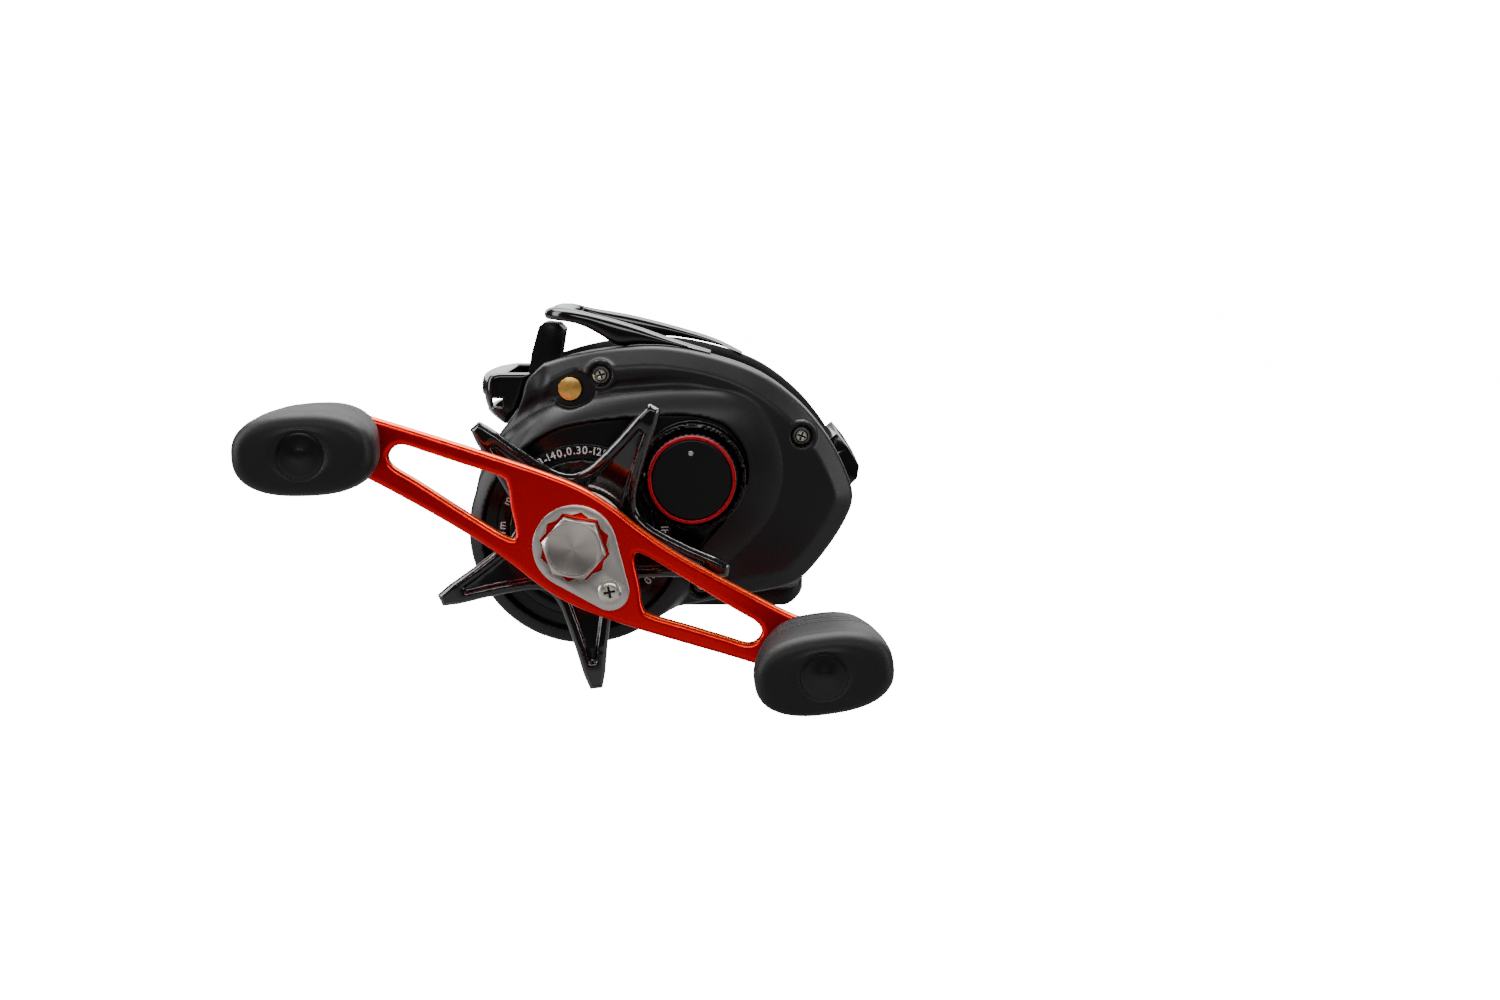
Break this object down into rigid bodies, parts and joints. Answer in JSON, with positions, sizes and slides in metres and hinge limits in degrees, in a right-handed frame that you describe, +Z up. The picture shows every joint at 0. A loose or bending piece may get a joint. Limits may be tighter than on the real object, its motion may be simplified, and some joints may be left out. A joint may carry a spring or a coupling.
{
  "type": "baitcasting reel",
  "caption": "Low-profile baitcasting reel with a double red handle, star drag, thumb-bar spool release, levelwind, cast control knob and magnetic brake dial.",
  "frame": {"origin": "on the axis of the rod seat, directly below the spool axis, midway between the side plates", "axes": "+X towards the butt of the rod, +Y away from the handle, +Z up from the rod towards the spool"},
  "size_m": [0.1114, 0.0932, 0.0693],
  "materials": {
    "gloss_black": "polished black moulding",
    "satin_charcoal": "satin charcoal paint",
    "frame_alloy": "dark anodised, satin",
    "spool_alloy": "gunmetal anodised, turned",
    "red_alloy": "red anodised, satin",
    "steel": "turned and brushed",
    "chrome": "polished",
    "brass": "turned",
    "black_plastic": "fine texture",
    "white_plastic": "moulded",
    "knob_rubber": "soft matt",
    "drag_fibre": "woven carbon drag washer",
    "ceramic": "polished line guide ring",
    "magnet": "nickel plated"
  },
  "bodies": {
    "body": {"frame": "frame_alloy", "reel_foot": "frame_alloy", "foot_screws": "steel", "front_cowl": "gloss_black", "top_hood": "gloss_black", "side_cover": "satin_charcoal", "side_cover_screws": "steel", "capacity_ring": "gloss_black", "oil_port_bush": "brass", "drive_shaft_bearing": "steel", "pinion_bearing": "steel", "spool_bearing_handle": "steel", "spool_bearing_palm": "steel", "roller_clutch": "steel", "worm_bushings": "white_plastic", "guide_rod": "steel", "idler_pin": "steel", "yoke_posts": "steel", "yoke_springs": "steel", "palm_plate": "satin_charcoal", "palm_plate_screws": "steel", "cast_shim": "brass"},
    "drive": {"drive_shaft": "steel", "ratchet_wheel": "steel", "levelwind_drive_gear": "white_plastic", "drag_plate": "steel", "spring_washers": "steel", "clutch_sleeve": "steel", "click_washer": "steel", "handle_spacer": "black_plastic", "handle_arm": "red_alloy", "handle_nut": "steel", "nut_retainer": "steel", "retainer_screw": "steel", "knob_posts": "steel"},
    "star": {"star_wheel": "gloss_black", "star_nut": "brass"},
    "gear": {"main_gear": "brass", "drag_washer": "drag_fibre"},
    "yoke": {"clutch_yoke": "white_plastic"},
    "pinion": {"pinion_gear": "brass"},
    "thumb": {"thumb_bar": "gloss_black", "clutch_cam": "steel"},
    "spool": {"spool": "spool_alloy", "spool_shaft": "steel", "spool_pin": "steel"},
    "idler": {"idler_gear": "white_plastic"},
    "worm": {"worm_shaft": "steel", "worm_gear": "white_plastic"},
    "guide": {"line_guide": "black_plastic", "guide_insert": "ceramic", "pawl_cap": "steel"},
    "cast_control": {"cast_knob": "gloss_black", "cast_knob_ring": "red_alloy"},
    "brake": {"brake_dial": "black_plastic", "magnet_ring": "white_plastic", "brake_magnets": "magnet"},
    "lock": {"palm_lock": "black_plastic"},
    "front_knob": {"knob_front": "knob_rubber"},
    "rear_knob": {"knob_rear": "knob_rubber"}
  },
  "joints": [
    {"name": "handle_turn", "type": "hinge", "parent": "body", "child": "drive", "pos_m": [-0.0205, 0, 0.0216], "axis": [0, -1, 0], "continuous": true},
    {"name": "star_turn", "type": "hinge", "parent": "drive", "child": "star", "pos_m": [-0.0205, 0, 0.0216], "axis": [0, -1, 0], "range_deg": [-90, 180]},
    {"name": "main_gear_turn", "type": "hinge", "parent": "body", "child": "gear", "pos_m": [-0.0205, 0, 0.0216], "axis": [0, -1, 0], "continuous": true},
    {"name": "clutch_slide", "type": "slide", "parent": "body", "child": "yoke", "axis": [0, -1, 0], "range_m": [0, 0.0016], "deforming": ["yoke_springs"]},
    {"name": "pinion_spin", "type": "hinge", "parent": "yoke", "child": "pinion", "pos_m": [0, 0, 0.032], "axis": [0, -1, 0], "continuous": true},
    {"name": "spool_spin", "type": "hinge", "parent": "body", "child": "spool", "pos_m": [0, 0, 0.032], "axis": [0, -1, 0], "continuous": true},
    {"name": "thumb_bar_press", "type": "hinge", "parent": "body", "child": "thumb", "pos_m": [0, 0, 0.032], "axis": [0, -1, 0], "range_deg": [-12, 0]},
    {"name": "idler_spin", "type": "hinge", "parent": "body", "child": "idler", "pos_m": [-0.02566, 0, 0.03568], "axis": [0, -1, 0], "continuous": true},
    {"name": "worm_spin", "type": "hinge", "parent": "body", "child": "worm", "pos_m": [-0.023, 0, 0.048], "axis": [0, -1, 0], "continuous": true},
    {"name": "line_guide_slide", "type": "slide", "parent": "body", "child": "guide", "axis": [0, -1, 0], "range_m": [-0.009, 0.009]},
    {"name": "cast_control_turn", "type": "hinge", "parent": "body", "child": "cast_control", "pos_m": [0, 0, 0.032], "axis": [0, -1, 0], "range_deg": [-360, 360]},
    {"name": "brake_dial_turn", "type": "hinge", "parent": "body", "child": "brake", "pos_m": [0, 0, 0.032], "axis": [0, -1, 0], "range_deg": [0, 90]},
    {"name": "palm_lock_turn", "type": "hinge", "parent": "body", "child": "lock", "pos_m": [0.0215, 0, 0.024], "axis": [0, -1, 0], "range_deg": [0, 90]},
    {"name": "front_knob_spin", "type": "hinge", "parent": "drive", "child": "front_knob", "pos_m": [-0.06417, 0, 0.04027], "axis": [0, -1, 0], "continuous": true},
    {"name": "rear_knob_spin", "type": "hinge", "parent": "drive", "child": "rear_knob", "pos_m": [0.02318, 0, 0.00293], "axis": [0, -1, 0], "continuous": true}
  ],
  "couplings": [
    {"joint": "main_gear_turn", "follows": "handle_turn", "ratio": 1},
    {"joint": "pinion_spin", "follows": "handle_turn", "ratio": -5.4167},
    {"joint": "spool_spin", "follows": "handle_turn", "ratio": -5.4167},
    {"joint": "idler_spin", "follows": "handle_turn", "ratio": -0.78571},
    {"joint": "worm_spin", "follows": "handle_turn", "ratio": 1.5714},
    {"joint": "clutch_slide", "follows": "thumb_bar_press", "m_per_rad": -0.0076394}
  ]
}
